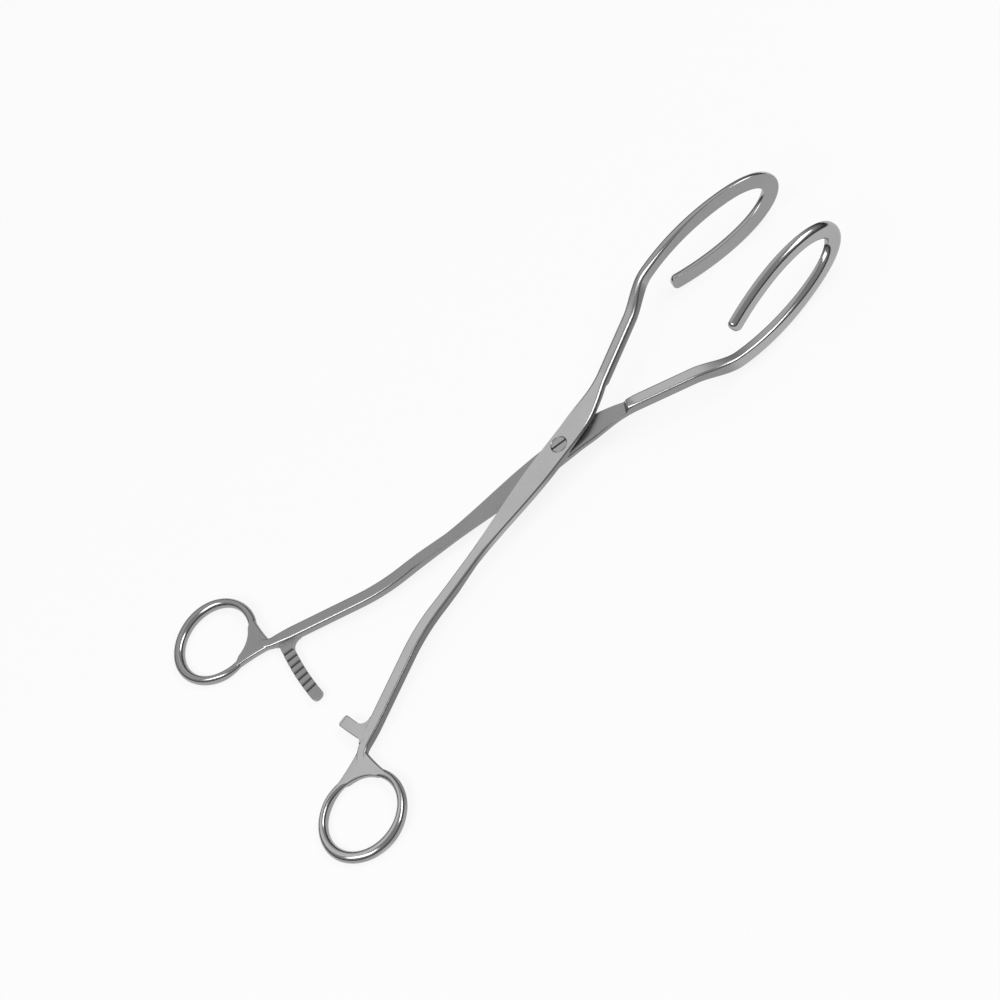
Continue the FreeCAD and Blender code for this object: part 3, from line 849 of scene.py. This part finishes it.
# Floor
# A plain pale sheet of paper. It is tilted a little towards the rings, because the instrument
# lies on the lowest points of its two jaw loops and of its finger rings.
floor_half = 1.5
paper_tone = 0.93
paper_white_share = 0.85
loops_low = Vector((0.080, 0.0, -0.01175))
rings_low = Vector((-0.117, 0.0, -0.00176))
floor_tilt = math.atan2(rings_low.z - loops_low.z, loops_low.x - rings_low.x)
floor_mesh = bpy.data.meshes.new("floor")
corners = [(-floor_half, -floor_half, 0), (floor_half, -floor_half, 0),
           (floor_half, floor_half, 0), (-floor_half, floor_half, 0)]
floor_mesh.from_pydata(corners, [], [(0, 1, 2, 3)])
floor = bpy.data.objects.new("floor", floor_mesh)
floor.matrix_world = Matrix.Translation(loops_low) @ Matrix.Rotation(floor_tilt, 4, "Y")
bpy.context.scene.collection.objects.link(floor)
paper = Shader(bpy.data.materials.new("floor paper"))
lit = paper.node("ShaderNodeBsdfDiffuse", {}, {"Color": (paper_tone, paper_tone, paper_tone, 1)})
white = paper.node("ShaderNodeEmission", {}, {"Color": (1, 1, 1, 1), "Strength": 1.0})
seen = (paper.node("ShaderNodeLightPath", output="Is Camera Ray")
        + paper.node("ShaderNodeLightPath", output="Is Glossy Ray")
        + paper.node("ShaderNodeLightPath", output="Is Transmission Ray"))
paper_surface = paper.node("ShaderNodeMixShader", {},
                           {0: seen * paper_white_share, 1: lit, 2: white})
paper.node("ShaderNodeOutputMaterial", {}, {"Surface": paper_surface})
floor_mesh.materials.append(paper.owner)

# Light
# A grey room that darkens towards its floor, with a wide white panel hung behind the instrument
# for its flat faces, and two soft boxes whose long reflections lie along the rounded backs.
panel_azimuth = math.radians(180)
panel_elevation = math.radians(50)
panel_edge, panel_full = 0.72, 0.95
rise_from, rise_full = 0.1, 0.6
room_low_glow = 0.04
room_high_glow = 0.36
panel_glow = 0.4
box_distance = 1.1
box_width = 0.8
box_height = 0.35
box_watts = 4.0
world = bpy.data.worlds.new("studio")
bpy.context.scene.world = world
room = Shader(world)
direction = room.node("ShaderNodeTexCoord", output="Generated")
rise = room.along(direction, (0, 0, 1))
panel_way = (math.sin(panel_azimuth) * math.cos(panel_elevation),
             -math.cos(panel_azimuth) * math.cos(panel_elevation), math.sin(panel_elevation))
panel = room.along(direction, panel_way).ramp(panel_edge, panel_full)
glow = room_low_glow + rise.ramp(rise_from, rise_full) * room_high_glow + panel * panel_glow
room_color = room.node("ShaderNodeVectorMath", {"operation": "SCALE"},
                       {0: (1.0, 1.0, 1.0), "Scale": glow})
room_light = room.node("ShaderNodeBackground", {}, {"Color": room_color, "Strength": 1.0})
room.node("ShaderNodeOutputWorld", {}, {"Surface": room_light})


def soft_box(name, azimuth, elevation):
    """Area light that faces the pivot from an azimuth, counted as the camera's, and elevation."""
    a, e = math.radians(azimuth), math.radians(elevation)
    back = Vector((math.sin(a) * math.cos(e), -math.cos(a) * math.cos(e), math.sin(e)))
    data = bpy.data.lights.new(name, "AREA")
    data.shape = "RECTANGLE"
    data.size = box_width
    data.size_y = box_height
    data.energy = box_watts
    light = bpy.data.objects.new(name, data)
    turn = back.to_track_quat("Z", "Y").to_matrix().to_4x4()
    light.matrix_world = Matrix.Translation(back * box_distance) @ turn
    bpy.context.scene.collection.objects.link(light)


soft_box("left soft box", -75, 50)
soft_box("right soft box", 70, 45)

# Camera
# It stands where the photograph was taken from: nearly square to the instrument's length, about
# 49 degrees above it, and rolled so that the jaws point to the upper right.
camera_azimuth = math.radians(-0.40)
camera_elevation = math.radians(48.63)
camera_roll = math.radians(45.63)
camera_distance = 0.970
frame_size = 1000.0
focal_pixels = 3234.0
pivot_pixel = (561.9, 447.6)
sensor_width = 36.0
nearest_seen = 0.05
forward = Vector((math.sin(camera_azimuth) * math.cos(camera_elevation),
                  math.cos(camera_azimuth) * math.cos(camera_elevation),
                  -math.sin(camera_elevation)))
level = Vector((math.cos(camera_azimuth), -math.sin(camera_azimuth), 0))
upright = level.cross(forward)
to_right = level * math.cos(camera_roll) - upright * math.sin(camera_roll)
to_top = level * math.sin(camera_roll) + upright * math.cos(camera_roll)
aside = (pivot_pixel[0] - frame_size / 2) / focal_pixels * camera_distance
above = (frame_size / 2 - pivot_pixel[1]) / focal_pixels * camera_distance
camera_data = bpy.data.cameras.new("camera")
camera_data.sensor_width = sensor_width
camera_data.lens = sensor_width * focal_pixels / frame_size
camera_data.clip_start = nearest_seen
camera = bpy.data.objects.new("camera", camera_data)
turn = Matrix((to_right, to_top, -forward)).transposed().to_4x4()
place = forward * -camera_distance - to_right * aside - to_top * above
camera.matrix_world = Matrix.Translation(place) @ turn
bpy.context.scene.collection.objects.link(camera)
bpy.context.scene.camera = camera
bpy.context.scene.view_settings.view_transform = "Standard"
